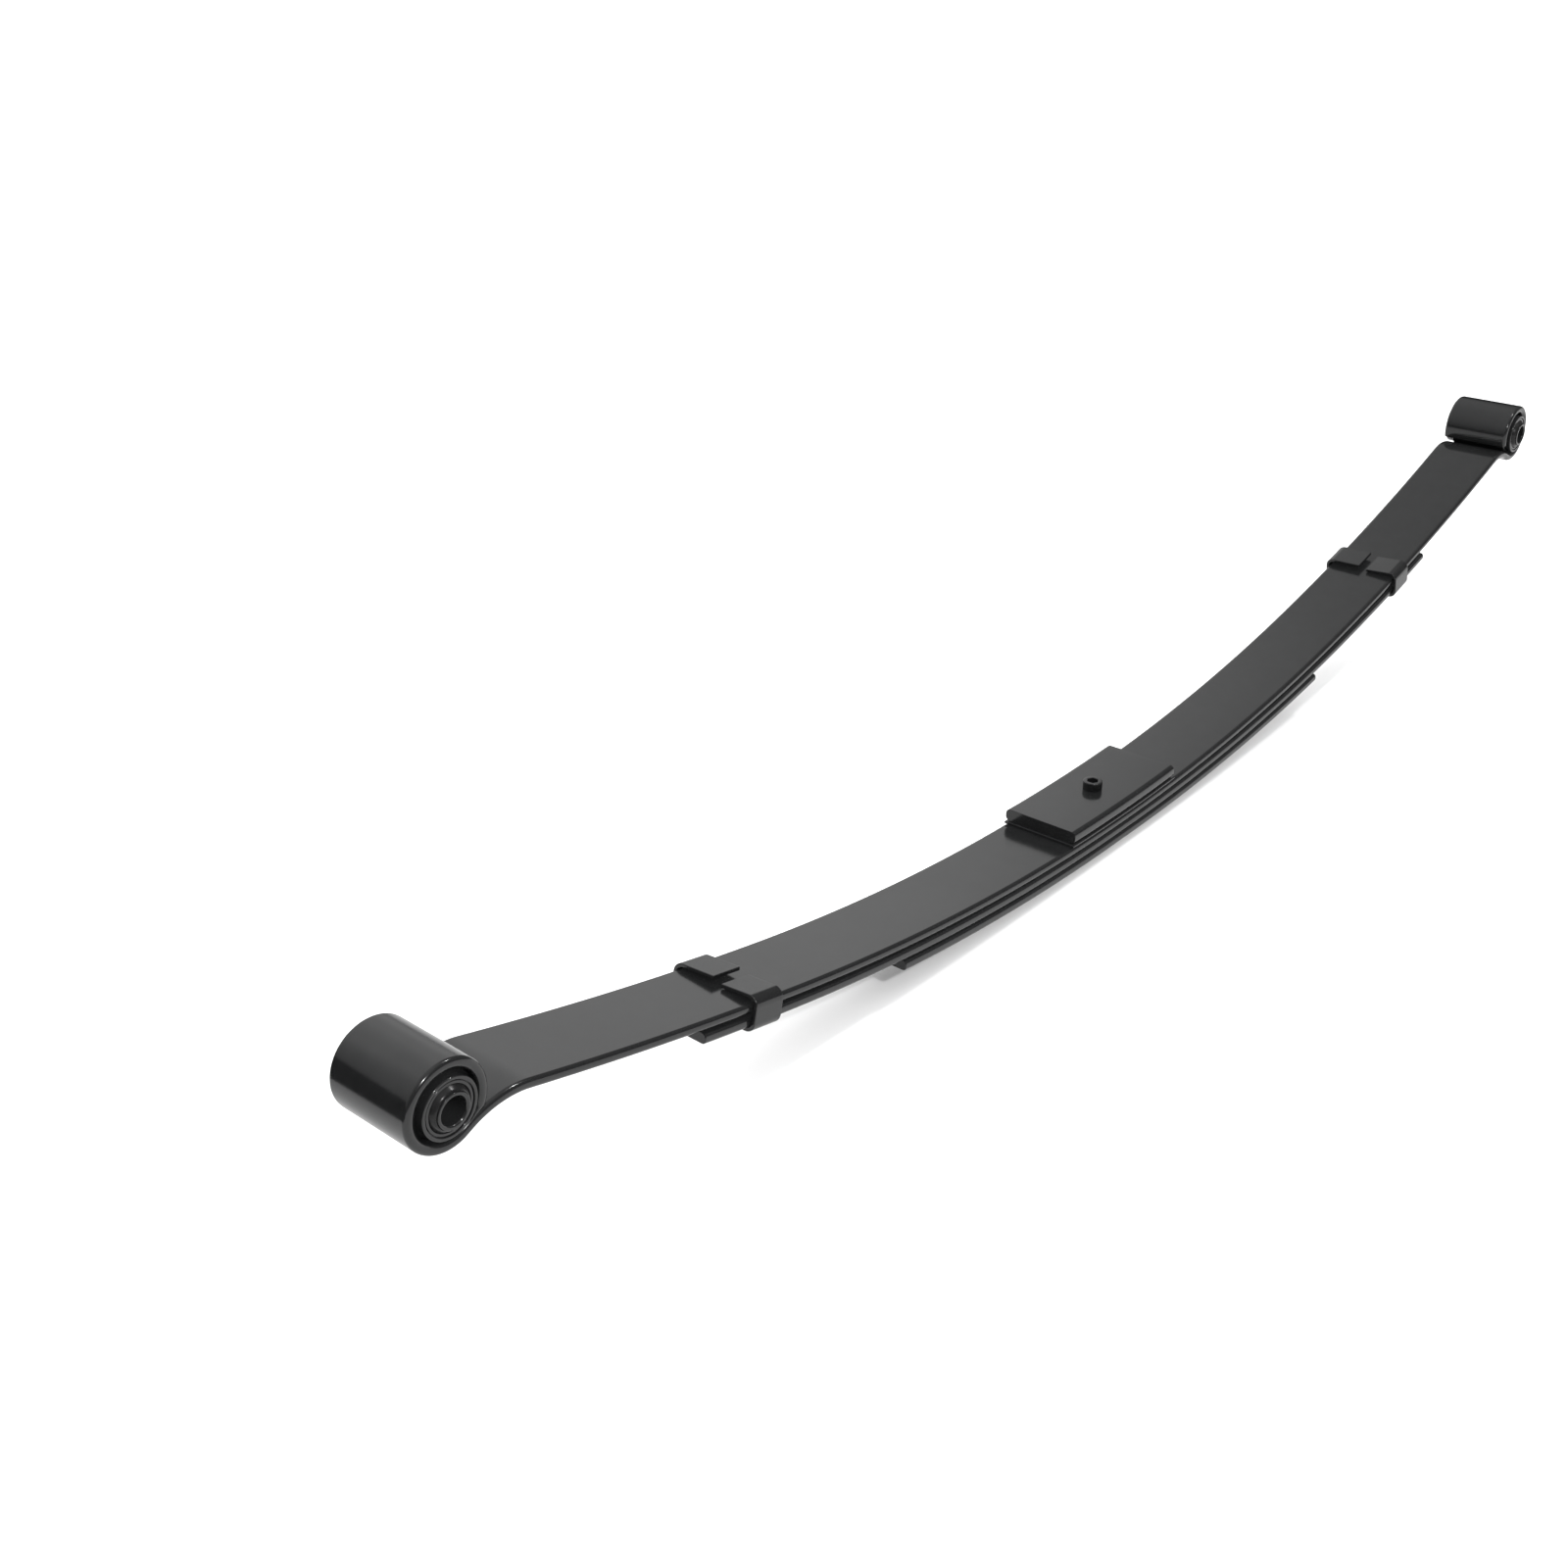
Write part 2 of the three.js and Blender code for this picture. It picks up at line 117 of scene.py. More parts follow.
def mesh_object(name, points, faces, material, smooth_angle=38):
    """A closed mesh from points and faces, with outward normals and its sharp edges kept."""
    mesh = bpy.data.meshes.new(name)
    mesh.from_pydata(points, [], faces)
    work = bmesh.new()
    work.from_mesh(mesh)
    bmesh.ops.remove_doubles(work, verts=work.verts, dist=1e-7)
    bmesh.ops.recalc_face_normals(work, faces=work.faces)
    work.to_mesh(mesh)
    work.free()
    mesh.shade_smooth()
    mesh.set_sharp_from_angle(angle=math.radians(smooth_angle))
    mesh.materials.append(material)
    obj = bpy.data.objects.new(name, mesh)
    bpy.context.scene.collection.objects.link(obj)
    flat_faces_first = obj.modifiers.new("flat_faces_first", "WEIGHTED_NORMAL")
    flat_faces_first.keep_sharp = True
    shaded = obj.evaluated_get(bpy.context.evaluated_depsgraph_get())
    obj.data = bpy.data.meshes.new_from_object(shaded)
    obj.modifiers.clear()
    return obj


def skin(rings, closed=False):
    """Points and faces of a tube through rings of equal length; its two ends are capped."""
    count = len(rings[0])
    points = [p for ring in rings for p in ring]
    faces = []
    spans = len(rings) if closed else len(rings) - 1
    for i in range(spans):
        here, there = i * count, ((i + 1) % len(rings)) * count
        for j in range(count):
            k = (j + 1) % count
            faces.append((here + j, here + k, there + k, there + j))
    if not closed:
        faces.append(tuple(range(count)))
        faces.append(tuple(range(len(points) - count, len(points))))
    return points, faces


def rounded_section(half_width, low, high, radius, steps=6):
    """A rectangle with rounded corners as (across, up) pairs."""
    radius = min(radius, (high - low) * 0.49)
    corners = ((1, high - radius, 0), (-1, high - radius, 90),
               (-1, low + radius, 180), (1, low + radius, 270))
    section = []
    for side, up, start in corners:
        for i in range(steps + 1):
            angle = math.radians(start + 90 * i / steps)
            section.append((side * (half_width - radius) + radius * math.cos(angle),
                            up + radius * math.sin(angle)))
    return section


def strip_rings(stations, half_width, radius, place, ends=(0, 0)):
    """Rings of a strip along its stations, each (point, up, low, high) with two heights along up.

    place turns (along, height, across) into a point of the part. ends rounds the two end faces.
    """
    steps = 4
    rings = []

    def ring(point, up, low, high, inset):
        section = rounded_section(half_width - inset, low + inset, high - inset, radius)
        return [place(point.x + up.x * h, point.y + up.y * h, w) for w, h in section]

    def end_rings(station, inward, end):
        point, up, low, high = station
        for i in range(steps):
            angle = math.pi / 2 * i / steps
            inset = end * (1 - math.sin(angle))
            yield ring(point + inward * end * (1 - math.cos(angle)), up, low, high, inset)

    def towards(a, b):
        return (b[0] - a[0]).normalized()

    body = [ring(*s, 0) for s in stations]
    if ends[0]:
        rings += end_rings(stations[0], towards(stations[0], stations[1]), ends[0])
        body = body[1:]
    if ends[1]:
        body = body[:-1]
    rings += body
    if ends[1]:
        rings += reversed(list(end_rings(stations[-1], towards(stations[-1], stations[-2]), ends[1])))
    return rings


def arc(centre, radius, start, end, step):
    """Points along an arc of the side view, each with its direction away from the centre."""
    count = max(3, math.ceil(abs(end - start) * radius / step))
    found = []
    for i in range(count + 1):
        angle = start + (end - start) * i / count
        away = Vector((math.cos(angle), math.sin(angle)))
        found.append((centre + away * radius, away))
    return found


def turned(name, outline, centre, material):
    """A ring turned about the Y axis through centre, from (radius, y) pairs."""
    sides = 96
    rings = []
    for i in range(sides):
        angle = 2 * math.pi * i / sides
        rings.append([centre + Vector((r * math.cos(angle), y, r * math.sin(angle)))
                      for r, y in outline])
    return mesh_object(name, *skin(rings, closed=True), material)


def columns(levels, centre, sides):
    """For each side round the Z axis, the points of levels of (z, radius).

    A radius may be a number or a function of the angle.
    """
    found = []
    for i in range(sides):
        angle = 2 * math.pi * i / sides
        column = []
        for z, radius in levels:
            r = radius(angle) if callable(radius) else radius
            column.append(centre + Vector((r * math.cos(angle), r * math.sin(angle), z)))
        found.append(column)
    return found


def stacked(name, levels, centre, material, sides, smooth_angle=38):
    """A body standing on Z, capped at its first and last level."""
    rings = list(zip(*columns(levels, centre, sides)))
    return mesh_object(name, *skin(rings), material, smooth_angle)


def stacked_ring(name, levels, centre, material, sides, smooth_angle):
    """A body standing on Z with a hole through it: its last level joins its first."""
    return mesh_object(name, *skin(columns(levels, centre, sides), closed=True), material,
                       smooth_angle)


def rounding(centre_r, centre_y, radius, start, end, steps=5):
    """A quarter-round for an outline of (radius, y) pairs, from one angle in degrees to another."""
    found = []
    for i in range(steps + 1):
        angle = math.radians(start + (end - start) * i / steps)
        found.append((centre_r + radius * math.cos(angle), centre_y + radius * math.sin(angle)))
    return found


# ---- Materials ---------------------------------------------------------------------------------

def paint(name, colour, roughness, peel_size, peel_depth, fleck=0.25, ior=1.5):
    """Paint or rubber: fine bumps, slow changes of gloss, and a little grey in the black."""
    material = bpy.data.materials.new(name)
    material.use_nodes = True
    tree = material.node_tree
    shader = tree.nodes["Principled BSDF"]
    shader.inputs["IOR"].default_value = ior
    place = tree.nodes.new("ShaderNodeTexCoord")

    def noise(size, detail):
        node = tree.nodes.new("ShaderNodeTexNoise")
        node.inputs["Scale"].default_value = 1 / size
        node.inputs["Detail"].default_value = detail
        tree.links.new(place.outputs["Object"], node.inputs["Vector"])
        return node.outputs["Fac"]

    def ramp(source, low, high, start, end):
        node = tree.nodes.new("ShaderNodeMapRange")
        node.inputs["From Min"].default_value = start
        node.inputs["From Max"].default_value = end
        node.inputs["To Min"].default_value = low
        node.inputs["To Max"].default_value = high
        tree.links.new(source, node.inputs["Value"])
        return node.outputs["Result"]

    gloss = ramp(noise(45 * MM, 3), roughness * 0.92, roughness * 1.1, 0.3, 0.7)
    tree.links.new(gloss, shader.inputs["Roughness"])

    shades = tree.nodes.new("ShaderNodeMix")
    shades.data_type = "RGBA"
    shades.inputs["A"].default_value = (*colour, 1)
    shades.inputs["B"].default_value = (*(c * (1 + fleck) for c in colour), 1)
    tree.links.new(ramp(noise(9 * MM, 4), 0, 1, 0.35, 0.75), shades.inputs["Factor"])
    tree.links.new(shades.outputs["Result"], shader.inputs["Base Color"])

    bump = tree.nodes.new("ShaderNodeBump")
    bump.inputs["Strength"].default_value = 1
    bump.inputs["Distance"].default_value = peel_depth
    tree.links.new(noise(peel_size, 2), bump.inputs["Height"])
    tree.links.new(bump.outputs["Normal"], shader.inputs["Normal"])
    return material


SPRING_PAINT = paint("spring_paint", (0.0073, 0.0075, 0.0077), 0.16, 1.5 * MM, 0.008 * MM)
BOLT_PAINT = paint("bolt_black", (0.0065, 0.0066, 0.0068), 0.2, 0.9 * MM, 0.003 * MM)
BUSH_RUBBER = paint("bush_rubber", (0.007, 0.007, 0.0072), 0.24, 1.1 * MM, 0.01 * MM,
                    fleck=0.5, ior=1.33)


# ---- The curve that every leaf follows -----------------------------------------------------------

def outer_arc_centre(half):
    """Where the two arcs of a half meet, and the centre of the outer one."""
    turn = math.asin(ARC_CHANGE / INNER_ARC_RADIUS)
    radial = Vector((math.sin(turn), -math.cos(turn)))
    join = Vector((0, INNER_ARC_RADIUS)) + radial * INNER_ARC_RADIUS
    return join, join - radial * half["outer_arc"]


def top_face(half, x):
    """A point on the main leaf's top face at distance x, and the direction square to it."""
    join, outer = outer_arc_centre(half)
    centre, radius = Vector((0, INNER_ARC_RADIUS)), INNER_ARC_RADIUS
    if x > join.x:
        centre, radius = outer, half["outer_arc"]
    point = Vector((x, centre.y - math.sqrt(radius ** 2 - (x - centre.x) ** 2)))
    return point, (centre - point).normalized()


def depths(name, half, x):
    """Depth of a short leaf's upper and lower face at distance x, under the main leaf's top."""
    leaf = SHORT_LEAVES[name]
    tip, gap_at_tip = leaf[half["name"]]
    gap = GAP_AT_BOLT + (gap_at_tip - GAP_AT_BOLT) * min(x / tip, 1)
    above = MAIN_THICKNESS if name == "second" else depths("second", half, x)[1]
    return above + gap, above + gap + leaf["thickness"]


def on_half(half):
    """Turns a half's own (x, z, y) into a point of the part."""
    def place(x, z, y):
        return Vector((BOLT_AXIS.x + half["side"] * x, y, LEAF_TOP + z))
    return place


def bend_with(obj, half):
    """Bakes a piece of leaf's placement into its mesh."""
    start, end = half["flex"]
    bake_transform(obj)


# ---- Leaves ------------------------------------------------------------------------------------

def main_leaf_stations(half):
    """From the bolt along both arcs, through the reverse bend and round the eye."""
    t = MAIN_THICKNESS
    eye = half["eye"]
    join, outer = outer_arc_centre(half)
    bend_radius = half["reverse_bend"]

    # The reverse bend touches the outer arc from below and the eye from the bolt's side.
    to_arc = half["outer_arc"] + t / 2 + bend_radius
    to_eye = EYE_RADIUS - t / 2 + bend_radius
    between = eye - outer
    distance = between.length
    along = (to_arc ** 2 - to_eye ** 2 + distance ** 2) / (2 * distance)
    aside = math.sqrt(to_arc ** 2 - along ** 2)
    between.normalize()
    bend = outer + between * along + Vector((between.y, -between.x)) * aside

    def angle(a, b):
        return math.atan2(b.y - a.y, b.x - a.x)

    turn = math.asin(ARC_CHANGE / INNER_ARC_RADIUS) - math.pi / 2
    inner = Vector((0, INNER_ARC_RADIUS))
    leaf = arc(inner, INNER_ARC_RADIUS + t / 2, -math.pi / 2, turn, STATION_STEP)
    leaf += arc(outer, half["outer_arc"] + t / 2, turn, angle(outer, bend), STATION_STEP)[1:]
    stations = [(point, -away, -t / 2, t / 2) for point, away in leaf]
    crook = arc(bend, bend_radius, angle(bend, outer), angle(bend, eye), EYE_STEP)[1:]
    stations += [(point, away, -t / 2, t / 2) for point, away in crook]

    # Round the eye. The front leaf closes on itself, so its end is scarfed to lie in the crook;
    # the rear one is cut square and stops short.
    start = angle(eye, bend)
    scarfed = half["name"] == "front"
    scarf_gap = 0.15 * MM
    last = start + 2 * math.pi - half["eye_opening"]
    upper_crook = bend_radius + t / 2
    for point, away in arc(eye, EYE_RADIUS - t / 2, start, last, EYE_STEP)[1:]:
        low = -t / 2
        if scarfed:
            to_go = 2 * math.pi - (math.atan2(away.y, away.x) - start) % (2 * math.pi)
            reach = to_eye * math.sin(to_go)
            if to_go < math.pi / 4 and reach < upper_crook:
                crook_at = to_eye * math.cos(to_go) - math.sqrt(upper_crook ** 2 - reach ** 2)
                room = crook_at - scarf_gap - (EYE_RADIUS - t / 2)
                low = max(low, -room)
        stations.append((point, -away, low, t / 2))
    return stations


def main_leaf(half):
    """One half of the main leaf, with its eye."""
    tip_round = 0 if half["name"] == "front" else 0.5 * MM
    rings = strip_rings(main_leaf_stations(half), LEAF_WIDTH / 2, EDGE_ROUND, on_half(half),
                        ends=(0, tip_round))
    return mesh_object(f"main_leaf_{half['name']}_half", *skin(rings), SPRING_PAINT)


def short_leaf(name, half):
    """One half of the second or third leaf, cut square at its tip."""
    tip, _ = SHORT_LEAVES[name][half["name"]]
    tip_round = 0.6 * MM
    count = math.ceil(tip / STATION_STEP)
    stations = []
    for i in range(count + 1):
        x = tip * i / count
        top, bottom = depths(name, half, x)
        stations.append((*top_face(half, x), -bottom, -top))
    rings = strip_rings(stations, LEAF_WIDTH / 2, EDGE_ROUND, on_half(half),
                        ends=(0, tip_round))
    return mesh_object(f"{name}_leaf_{half['name']}_half", *skin(rings), SPRING_PAINT)


# ---- Seat plate, liner, bolt and nut -------------------------------------------------------------

def seat_piece(name, size, node):
    """A rounded bar that follows the main leaf's curve across the bolt."""
    count = 24
    stations = []
    for i in range(count + 1):
        x = size["length"] * (i / count - 0.5)
        half = HALVES["front" if x < 0 else "rear"]
        point, up = top_face(half, abs(x))
        side = half["side"]
        stations.append((Vector((side * point.x, point.y)), Vector((side * up.x, up.y)),
                         size["low"], size["high"]))

    def place(x, z, y):
        return Vector((BOLT_AXIS.x + x, y, LEAF_TOP + z))

    rings = strip_rings(stations, LEAF_WIDTH / 2, size["edge"], place, size["ends"])
    piece = mesh_object(name, *skin(rings), SPRING_PAINT)
    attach(piece, "centre_pack")
    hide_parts(node)


def hexagon(flats):
    """Radius of a hexagon at an angle, by its width across flats."""
    def radius(angle):
        return flats / 2 / math.cos((angle + math.pi / 6) % (math.pi / 3) - math.pi / 6)
    return radius


def centre_bolt():
    """A socket head cap screw: knurled head, hexagon socket, shank with a chamfer at its end, drawn
    without a thread.
    """
    ridges = 44
    sides = 6 * ridges
    head, shank, chamfer = 5.98 * MM, 4.0 * MM, 0.5 * MM
    low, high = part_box("centre_bolt")
    bottom, top = low.z, high.z
    seat = LEAF_TOP + SEAT["high"] + 0.02 * MM
    ridge_depth, top_round = 0.14 * MM, 0.6 * MM
    socket_flats, socket_corners, socket_depth = 6.35 * MM, 7.1 * MM, 3.6 * MM

    def knurl(angle):
        return head - ridge_depth * (0.5 + 0.5 * math.cos(ridges * angle))

    def socket(extra):
        outline = hexagon(socket_flats + 2 * extra)
        return lambda angle: min(outline(angle), socket_corners / 2 + extra)

    levels = [(bottom, shank - chamfer), (bottom + chamfer, shank), (seat - 0.1 * MM, shank),
              (seat, head - 0.5 * MM), (seat + 0.25 * MM, head - 0.2 * MM)]
    levels += [(seat + 0.45 * MM, knurl), (top - 1.3 * MM, knurl)]
    levels += [(top - 1.05 * MM, head - 0.16 * MM), (top - 0.75 * MM, head - 0.12 * MM)]
    for i in range(6):
        angle = math.radians(15 + 75 * i / 5)
        levels.append((top - top_round * (1 - math.sin(angle)),
                       head - 0.12 * MM - top_round * (1 - math.cos(angle))))
    levels += [(top - 0.01 * MM, socket(0.35 * MM)), (top - 0.3 * MM, socket(0)),
               (top - socket_depth, socket(0)), (top - socket_depth - 0.9 * MM, 0.3 * MM)]
    piece = stacked("centre_bolt_socket_head", levels, Vector((BOLT_AXIS.x, 0, 0)), BOLT_PAINT,
                    sides, smooth_angle=32)
    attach(piece, "centre_pack")
    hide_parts("centre_bolt")


def centre_nut():
    """A plain hexagon nut, chamfered at its corners, with a countersink round the bolt's end."""
    low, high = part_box("centre_nut")
    bottom, top = low.z, high.z
    flats, chamfer = 13 * MM, 0.8 * MM
    hole, countersink = 4.02 * MM, 0.6 * MM
    corner, face = flats / math.sqrt(3), flats / 2 * 0.97
    outline = hexagon(flats)

    def clipped(limit):
        return lambda angle: min(outline(angle), limit)

    levels = [(top, hole)]
    for end, inward in ((top, -1), (bottom, 1)):
        steps = [(end + inward * chamfer * i / 5, clipped(face + (corner - face) * i / 5))
                 for i in range(6)]
        levels += steps if inward < 0 else reversed(steps)
    levels += [(bottom, hole + countersink - 0.02 * MM), (bottom + countersink, hole)]
    piece = stacked_ring("centre_nut_chamfered", levels, Vector((BOLT_AXIS.x, 0, 0)), BOLT_PAINT,
                         sides=144, smooth_angle=32)
    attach(piece, "centre_pack")
    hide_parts("centre_nut")


# ---- Rebound clips -------------------------------------------------------------------------------

def bent_line(corners, radius, steps=8):
    """Points and left-hand normals along a line whose corners are bent to a radius."""
    line = [corners[0]]
    for before, here, after in zip(corners, corners[1:], corners[2:]):
        back, on = (before - here).normalized(), (after - here).normalized()
        half = back.angle(on) / 2
        centre = here + (back + on).normalized() * (radius / math.sin(half))
        first = here + back * (radius / math.tan(half)) - centre
        sweep = first.angle_signed(here + on * (radius / math.tan(half)) - centre)
        for i in range(steps + 1):
            line.append(centre + Matrix.Rotation(-sweep * i / steps, 2) @ first)
    line.append(corners[-1])
    stations = []
    for i, point in enumerate(line):
        along = (line[min(i + 1, len(line) - 1)] - line[max(i - 1, 0)]).normalized()
        stations.append((point, Vector((-along.y, along.x))))
    return stations


def clip(half):
    """A strap bent round the leaves, its two tabs closed over the main leaf."""
    t = CLIP["thickness"] / 2
    side = LEAF_WIDTH / 2 + CLIP["gap_beside"] + t
    floor = -depths("second", half, half["clip"])[1] - CLIP["gap_under"] - t
    near_tab = [(1.5 * MM, 2.7 * MM + t), (side, half["tab_root"] + t)]
    far_tab = [(-side, 2.4 * MM + t), (-4 * MM, 0.6 * MM + t)]
    corners = [Vector(c) for c in (*near_tab, (side, floor), (-side, floor), *far_tab)]
    point, up = top_face(half, half["clip"])
    place_on_half = on_half(half)

    def place(y, z, x):
        spot = point + up * z + Vector((up.y, -up.x)) * x
        return place_on_half(spot.x, spot.y, y)

    stations = [(p, n, -t, t) for p, n in bent_line(corners, CLIP["bend"] + t)]
    rings = strip_rings(stations, CLIP["width"] / 2, CLIP["edge"], place,
                        ends=(CLIP["end"], CLIP["end"]))
    piece = mesh_object(f"{half['name']}_clip_strap", *skin(rings), SPRING_PAINT)
    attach(piece, f"{half['name']}_half")
    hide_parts(f"{half['name']}_clip")


def clip_rivet(half):
    """A domed rivet head under the clip, with its shank up into the second leaf."""
    top, bottom = depths("second", half, half["clip"])
    under = -bottom - CLIP["gap_under"] - CLIP["thickness"] - 0.02 * MM
    head, height = 5.0 * MM, 2.4 * MM
    shank, flush = 2.9 * MM, 4.5 * MM
    levels = []
    for i in range(9):
        angle = math.radians(90 - 10 * i)
        levels.append((under - height * math.sin(angle), max(head * math.cos(angle), 0.05 * MM)))
    levels += [(under, head), (under + 0.01 * MM, shank), (-top - 1.7 * MM, shank),
               (-top - 0.3 * MM, flush)]
    piece = stacked(f"{half['name']}_clip_rivet_domed", levels, Vector((0, 0, 0)), SPRING_PAINT, 48)
    point, up = top_face(half, half["clip"])
    tilt = half["side"] * math.atan2(up.x, up.y)
    spot = on_half(half)(point.x, point.y, 0)
    piece.data.transform(Matrix.Translation(spot) @ Matrix.Rotation(tilt, 4, "Y"))
    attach(piece, f"{half['name']}_half")
    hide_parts(f"{half['name']}_clip_rivet")


# ---- Bushes --------------------------------------------------------------------------------------

def mirrored(end):
    """The outline of a ring from its +Y end alone."""
    return [*end, *((r, -y) for r, y in reversed(end))]


def bush(half):
    """Outer steel sleeve, moulded rubber with a neck round the inner sleeve, and that sleeve."""
    name = half["name"]
    centre = middle(f"{name}_inner_sleeve")
    snug = EYE_RADIUS - MAIN_THICKNESS - 0.1 * MM

    # The outer sleeve narrows past the eye and ends in a rounded lip, with a groove and a flat
    # ring inside it.
    outer_end = [(snug, 19.5 * MM), (snug - 0.3 * MM, 20.3 * MM), (14.7 * MM, 21.6 * MM),
                 *rounding(14 * MM, 26 * MM, 0.5 * MM, 0, 90),
                 *rounding(13.2 * MM, 26.1 * MM, 0.4 * MM, 90, 180), (12.75 * MM, 25.4 * MM),
                 (12.5 * MM, 25.4 * MM), *rounding(12.1 * MM, 25.75 * MM, 0.3 * MM, 0, 90),
                 (11.1 * MM, 26.1 * MM), (10.9 * MM, 25.9 * MM), (10.9 * MM, 24.8 * MM),
                 (12.8 * MM, 24 * MM)]

    # The rubber lies behind the flat ring and comes out through it as a tapering neck.
    rubber_end = [(12.7 * MM, 23.5 * MM), (10.8 * MM, 24.5 * MM), (10.8 * MM, 25.5 * MM),
                  (10.6 * MM, 25.9 * MM), (10.1 * MM, 26.7 * MM), (9.6 * MM, 27.5 * MM),
                  (9.2 * MM, 28 * MM), (8.75 * MM, 28.2 * MM)]

    # The inner sleeve's bore opens out at its mouth.
    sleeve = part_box(f"{name}_inner_sleeve")[1].y
    inner_end = [*rounding(8.15 * MM, sleeve - 0.35 * MM, 0.35 * MM, 0, 90),
                 *rounding(8.1 * MM, sleeve - 1.5 * MM, 1.7 * MM, 118, 162)]

    pieces = (
        ("outer_sleeve", outer_end, SPRING_PAINT, "half", "spring_paint"),
        ("rubber_bush", rubber_end, BUSH_RUBBER, "half", "bush_rubber"),
        ("inner_sleeve", inner_end, SPRING_PAINT, "sleeve", "spring_paint"),
    )
    for part, end, material, body, slot in pieces:
        piece = turned(f"{name}_{part}_turned", mirrored(end), centre, material)
        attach(piece, f"{name}_{body}")
        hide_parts(f"{name}_{part}")


# ---- Assembly ------------------------------------------------------------------------------------

for half in HALVES.values():
    leaf = main_leaf(half)
    bend_with(leaf, half)
    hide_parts("main_leaf")
    for name in SHORT_LEAVES:
        leaf = short_leaf(name, half)
        bend_with(leaf, half)
        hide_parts(f"{name}_leaf")
    clip(half)
    clip_rivet(half)
    bush(half)
seat_piece("seat_plate_rounded", SEAT, "seat_plate")
seat_piece("seat_liner_strip", LINER, "seat_liner")
centre_bolt()
centre_nut()


# ---- Studio --------------------------------------------------------------------------------------

CAMERA_TURN = math.radians(49.17)  # from +Y towards +X
CAMERA_TILT = math.radians(27.64)  # below the horizon
CAMERA_ROLL = math.radians(-0.495)
CAMERA_AIM = Vector((-0.3197, 0, 0.1505))
CAMERA_DISTANCE = 0.8926

# Brightness of the studio round the spring: for each wall, by the height of the direction on the
# unit sphere, from 0 level to 1 overhead.
WALLS = {
    "right": ((0.0, 0.15), (0.5, 0.2), (0.75, 0.3), (1.0, 0.8)),
    "behind": ((0.0, 0.4), (0.2, 0.95), (0.3, 1.08), (0.6, 1.0), (0.73, 0.58), (1.0, 0.8)),
    "corner": ((0.0, 0.7), (0.36, 1.1), (0.6, 1.32), (0.75, 1.2), (0.9, 0.8)),
    "left": ((0.0, 0.22), (0.36, 0.6), (0.56, 0.75), (0.9, 0.82)),
}


def panel(name, corners, shade):
    """A flat sheet of matt grey paint."""
    mesh = bpy.data.meshes.new(name)
    mesh.from_pydata(corners, [], [(0, 1, 2, 3)])
    material = bpy.data.materials.new(name)
    material.use_nodes = True
    shader = material.node_tree.nodes["Principled BSDF"]
    shader.inputs["Base Color"].default_value = (shade, shade, shade, 1)
    shader.inputs["Roughness"].default_value = 0.9
    shader.inputs["Specular IOR Level"].default_value = 0.1
    mesh.materials.append(material)
    obj = bpy.data.objects.new(name, mesh)
    bpy.context.scene.collection.objects.link(obj)
    return obj


def mirrored_only(sheet):
    """Only reflections see this sheet."""
    sheet.visible_camera = False
    sheet.visible_shadow = False
    sheet.visible_diffuse = False


def floor():
    """A white floor, and just over it a grey one that reflections see instead."""
    edge = 12  # from the middle, in metres

    def sheet(name, z, shade):
        return panel(name, [(-edge, -edge, z), (edge, -edge, z), (edge, edge, z), (-edge, edge, z)],
                     shade)

    sheet("floor", 0, 0.88).visible_glossy = False
    mirrored_only(sheet("floor_in_paint", 0.1 * MM, 0.54))


def black_card(name, start, end, height):
    """A low black card past the end of the spring."""
    mirrored_only(panel(name, [(*start, 0), (*end, 0), (*end, height), (*start, height)], 0.01))


def add_light(data, name, place, aim):
    obj = bpy.data.objects.new(name, data)
    obj.location = place
    obj.rotation_euler = (Vector(aim) - Vector(place)).to_track_quat("-Z", "Y").to_euler()
    obj.visible_camera = False
    bpy.context.scene.collection.objects.link(obj)
    return obj


def spot_lamp(name, place, size, power):
    """A small bright lamp, for the glints."""
    data = bpy.data.lights.new(name, "AREA")
    data.shape = "DISK"
    data.size = size
    data.energy = power
    add_light(data, name, place, aim=(-0.3, 0, 0.1))


def ceiling_light():
    """Soft even light from above, which the paint doesn't mirror."""
    data = bpy.data.lights.new("ceiling", "SUN")
    data.angle = math.radians(100)
    data.energy = 3.8
    data.use_shadow = False
    add_light(data, "ceiling", (0, 0, 3), aim=(0, 0, 0)).visible_glossy = False


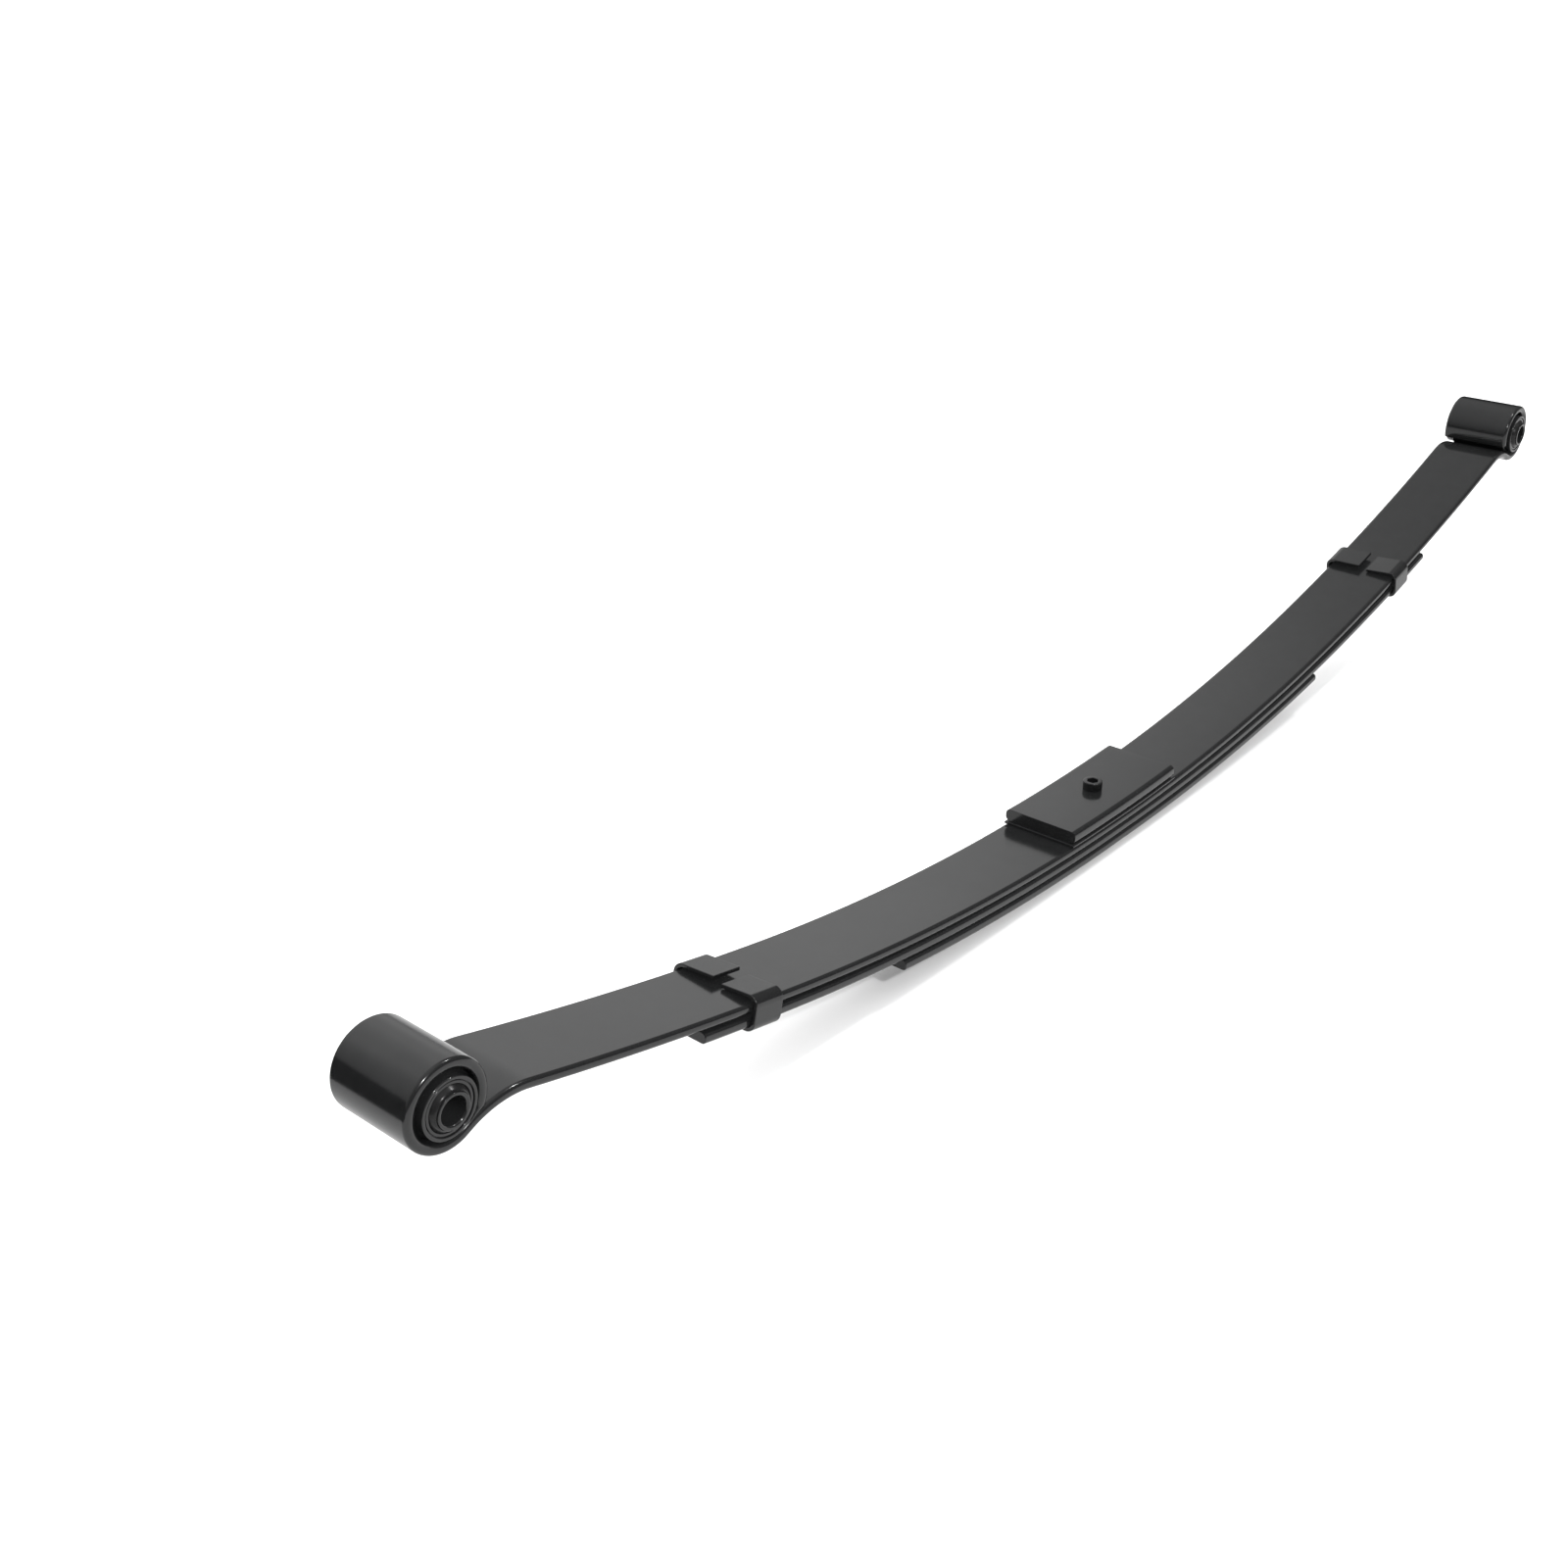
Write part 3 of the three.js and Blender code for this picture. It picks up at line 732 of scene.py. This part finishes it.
def studio_world():
    """Walls all round: white behind the spring and brightest in the corner to its left, grey on
    the left, and dark on the right and behind the camera."""
    world = bpy.data.worlds.new("studio")
    world.use_nodes = True
    tree = world.node_tree
    nodes, links = tree.nodes, tree.links
    direction = nodes.new("ShaderNodeTexCoord")

    def part_along(*axis):
        node = nodes.new("ShaderNodeVectorMath")
        node.operation = "DOT_PRODUCT"
        node.inputs[1].default_value = axis
        links.new(direction.outputs["Generated"], node.inputs[0])
        return node.outputs["Value"]

    height = part_along(0, 0, 1)
    turn = nodes.new("ShaderNodeMath")
    turn.operation = "ARCTAN2"
    links.new(part_along(math.cos(CAMERA_TURN), -math.sin(CAMERA_TURN), 0), turn.inputs[0])
    links.new(part_along(math.sin(CAMERA_TURN), math.cos(CAMERA_TURN), 0), turn.inputs[1])

    def wall(name):
        node = nodes.new("ShaderNodeValToRGB")
        stops = WALLS[name]
        ramp = node.color_ramp
        while len(ramp.elements) < len(stops):
            ramp.elements.new(0.5)
        for element, (position, level) in zip(ramp.elements, stops):
            element.position = position
            element.color = (level, level, level, 1)
        links.new(height, node.inputs["Fac"])
        return node.outputs["Color"]

    def mixed(factor, a, b):
        node = nodes.new("ShaderNodeMix")
        node.data_type = "RGBA"
        links.new(factor, node.inputs["Factor"])
        links.new(a, node.inputs["A"])
        links.new(b, node.inputs["B"])
        return node.outputs["Result"]

    def past(start, end):
        """0 to 1 as the turn from the view, in degrees to the right, goes from start to end."""
        node = nodes.new("ShaderNodeMapRange")
        node.interpolation_type = "SMOOTHSTEP"
        node.inputs["From Min"].default_value = math.radians(start)
        node.inputs["From Max"].default_value = math.radians(end)
        links.new(turn.outputs["Value"], node.inputs["Value"])
        return node.outputs["Result"]

    walls = mixed(past(-150, -120), wall("right"), wall("left"))
    walls = mixed(past(-88, -62), walls, wall("corner"))
    walls = mixed(past(-18, 0), walls, wall("behind"))
    walls = mixed(past(8, 20), walls, wall("right"))

    # The camera sees plain white past the floor's edge.
    white = nodes.new("ShaderNodeRGB")
    white.outputs["Color"].default_value = (1, 1, 1, 1)
    path = nodes.new("ShaderNodeLightPath")
    seen = mixed(path.outputs["Is Camera Ray"], walls, white.outputs["Color"])
    links.new(seen, nodes["Background"].inputs["Color"])
    bpy.context.scene.world = world


def camera():
    data = bpy.data.cameras.new("camera")
    data.sensor_width = 36
    data.lens = 42.07
    data.shift_x = 0.0005
    data.shift_y = 0.0055
    data.clip_start, data.clip_end = 0.01, 100
    obj = bpy.data.objects.new("camera", data)
    turn = Matrix.Rotation(-CAMERA_TURN, 4, "Z") @ Matrix.Rotation(math.pi / 2 - CAMERA_TILT, 4, "X")
    turn = turn @ Matrix.Rotation(CAMERA_ROLL, 4, "Z")
    back = turn.to_3x3() @ Vector((0, 0, 1))
    obj.matrix_world = Matrix.Translation(CAMERA_AIM + back * CAMERA_DISTANCE) @ turn
    bpy.context.scene.collection.objects.link(obj)
    bpy.context.scene.camera = obj


floor()
black_card("left_card", (-1.15, -0.25), (-0.45, 0.62), 0.19)
black_card("right_card", (0.84, 0.24), (0.88, -0.02), 0.3)
studio_world()
camera()
spot_lamp("left_lamp", (-1.0, -1.56, 1.58), 0.14, 22)
spot_lamp("right_lamp", (0.7, -0.5, 1.6), 0.12, 7)
ceiling_light()
bpy.context.scene.view_settings.view_transform = "Standard"
bpy.context.scene.view_settings.look = "None"
